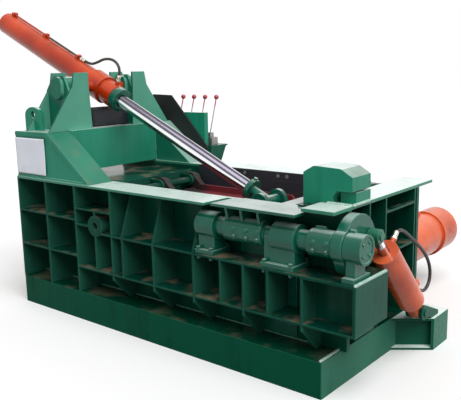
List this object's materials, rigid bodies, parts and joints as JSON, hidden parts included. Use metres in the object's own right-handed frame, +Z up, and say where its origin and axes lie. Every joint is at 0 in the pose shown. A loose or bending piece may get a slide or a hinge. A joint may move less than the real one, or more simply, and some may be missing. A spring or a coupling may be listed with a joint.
{
  "type": "recycling baler",
  "caption": "Hydraulic recycling baler: ribbed press box with a hinged lid, two pressing rams, a turn-out arm that tips the bale over the front, and hand valve levers.",
  "frame": {"origin": "middle of the base's underside, on the floor", "axes": "+X along the press box, from the lid cylinder's end to the turn-out cylinder's end; -Y is the front, over which the bale leaves; +Z up"},
  "size_m": [3.7659, 2.341, 2.1947],
  "materials": {
    "green_paint": "gloss",
    "green_base": "gloss",
    "wear_plate": "satin",
    "steel": "satin",
    "orange_paint": "gloss",
    "chrome": "polished",
    "lid_paint": "satin",
    "rubber_black": "matte",
    "knob_red": "gloss"
  },
  "bodies": {
    "frame": {"base_plinth": "green_base", "outrigger_foot": "green_base", "chamber_floor": "wear_plate", "liner_plates": "wear_plate", "front_wall": "green_paint", "rear_wall": "green_paint", "left_end_plate": "green_paint", "bay_end_wall": "green_paint", "end_frame": "green_paint", "front_ribs_left": "green_paint", "front_ribs_boss": "green_paint", "side_boss": "green_paint", "long_shelves": "green_paint", "shelf_brackets": "green_paint", "middle_ribs": "green_paint", "pedestal": "green_paint", "tapered_gussets": "green_paint", "front_flange": "green_paint", "rear_flange": "green_paint", "rear_ribs": "green_paint", "deck_plate": "green_paint", "tower_base_front": "green_paint", "tower_base_rear": "green_paint", "crossbeam": "green_paint", "front_tower": "green_paint", "rear_tower": "green_paint", "lifting_lugs": "green_paint", "roof_plate": "green_paint", "lock_head": "green_paint", "shaft_bearings": "green_paint", "foot_bracket": "green_paint", "lid_hinge_brackets": "green_paint", "valve_stand": "green_paint", "valve_block": "green_paint", "control_box": "green_paint", "liner_bolts": "steel", "bearing_bolts": "steel", "main_cylinder": "orange_paint", "side_cylinder": "orange_paint"},
    "lid": {"lid": "lid_paint", "lid_ears": "green_paint"},
    "lid_barrel": {"lid_barrel": "orange_paint", "lid_gland": "green_paint", "lid_pipe": "steel", "lid_hose": "rubber_black"},
    "lid_rod": {"lid_rod": "chrome", "lid_rod_eye": "green_paint"},
    "main_ram": {"main_ram": "lid_paint"},
    "side_ram": {"side_ram": "lid_paint"},
    "turnout": {"turnout_shaft": "green_paint", "turnout_door": "green_paint", "turnout_scoop": "green_paint", "turnout_lever": "green_paint"},
    "turnout_barrel": {"turnout_barrel": "orange_paint", "turnout_hose": "rubber_black"},
    "turnout_rod": {"turnout_rod": "chrome"},
    "lever_1": {"lever_1": "knob_red"},
    "lever_2": {"lever_2": "knob_red"},
    "lever_3": {"lever_3": "knob_red"},
    "lever_4": {"lever_4": "knob_red"}
  },
  "joints": [
    {"name": "lid_hinge", "type": "hinge", "parent": "frame", "child": "lid", "pos_m": [-0.42, 0, 0.88], "axis": [0, -1, 0], "range_deg": [0, 65]},
    {"name": "lid_barrel_tilt", "type": "hinge", "parent": "frame", "child": "lid_barrel", "pos_m": [-1.05, 0, 1.58], "axis": [0, -1, 0], "range_deg": [0, 32.6]},
    {"name": "lid_rod_slide", "type": "slide", "parent": "lid_barrel", "child": "lid_rod", "axis": [0.9096, 0, -0.4155], "range_m": [-0.674, 0]},
    {"name": "turnout_turn", "type": "hinge", "parent": "frame", "child": "turnout", "pos_m": [0, -0.53, 0.812], "axis": [1, 0, 0], "range_deg": [0, 95]},
    {"name": "turnout_barrel_tilt", "type": "hinge", "parent": "frame", "child": "turnout_barrel", "pos_m": [1.435, 0.225, 0.262], "axis": [1, 0, 0], "range_deg": [0, 0.35]},
    {"name": "turnout_rod_slide", "type": "slide", "parent": "turnout_barrel", "child": "turnout_rod", "axis": [0, -0.6904, 0.7234], "range_m": [0, 0.317]},
    {"name": "main_ram_slide", "type": "slide", "parent": "frame", "child": "main_ram", "axis": [1, 0, 0], "range_m": [0, 1.05]},
    {"name": "side_ram_slide", "type": "slide", "parent": "frame", "child": "side_ram", "axis": [0, 1, 0], "range_m": [-0.3, 0]},
    {"name": "lever_1_tilt", "type": "hinge", "parent": "frame", "child": "lever_1", "pos_m": [-0.946, 0.712, 1.178], "axis": [1, 0, 0], "range_deg": [-15, 15], "stiffness_Nm_per_rad": 4},
    {"name": "lever_2_tilt", "type": "hinge", "parent": "frame", "child": "lever_2", "pos_m": [-0.824, 0.712, 1.178], "axis": [1, 0, 0], "range_deg": [-15, 15], "stiffness_Nm_per_rad": 4},
    {"name": "lever_3_tilt", "type": "hinge", "parent": "frame", "child": "lever_3", "pos_m": [-0.702, 0.712, 1.178], "axis": [1, 0, 0], "range_deg": [-15, 15], "stiffness_Nm_per_rad": 4},
    {"name": "lever_4_tilt", "type": "hinge", "parent": "frame", "child": "lever_4", "pos_m": [-0.58, 0.712, 1.178], "axis": [1, 0, 0], "range_deg": [-15, 15], "stiffness_Nm_per_rad": 4}
  ],
  "couplings": [
    {"joint": "lid_barrel_tilt", "follows": "lid_hinge", "ratio": 0.5012},
    {"joint": "lid_rod_slide", "follows": "lid_hinge", "m_per_rad": -0.594},
    {"joint": "turnout_barrel_tilt", "follows": "turnout_turn", "ratio": 0.0033},
    {"joint": "turnout_rod_slide", "follows": "turnout_turn", "m_per_rad": 0.1909}
  ]
}
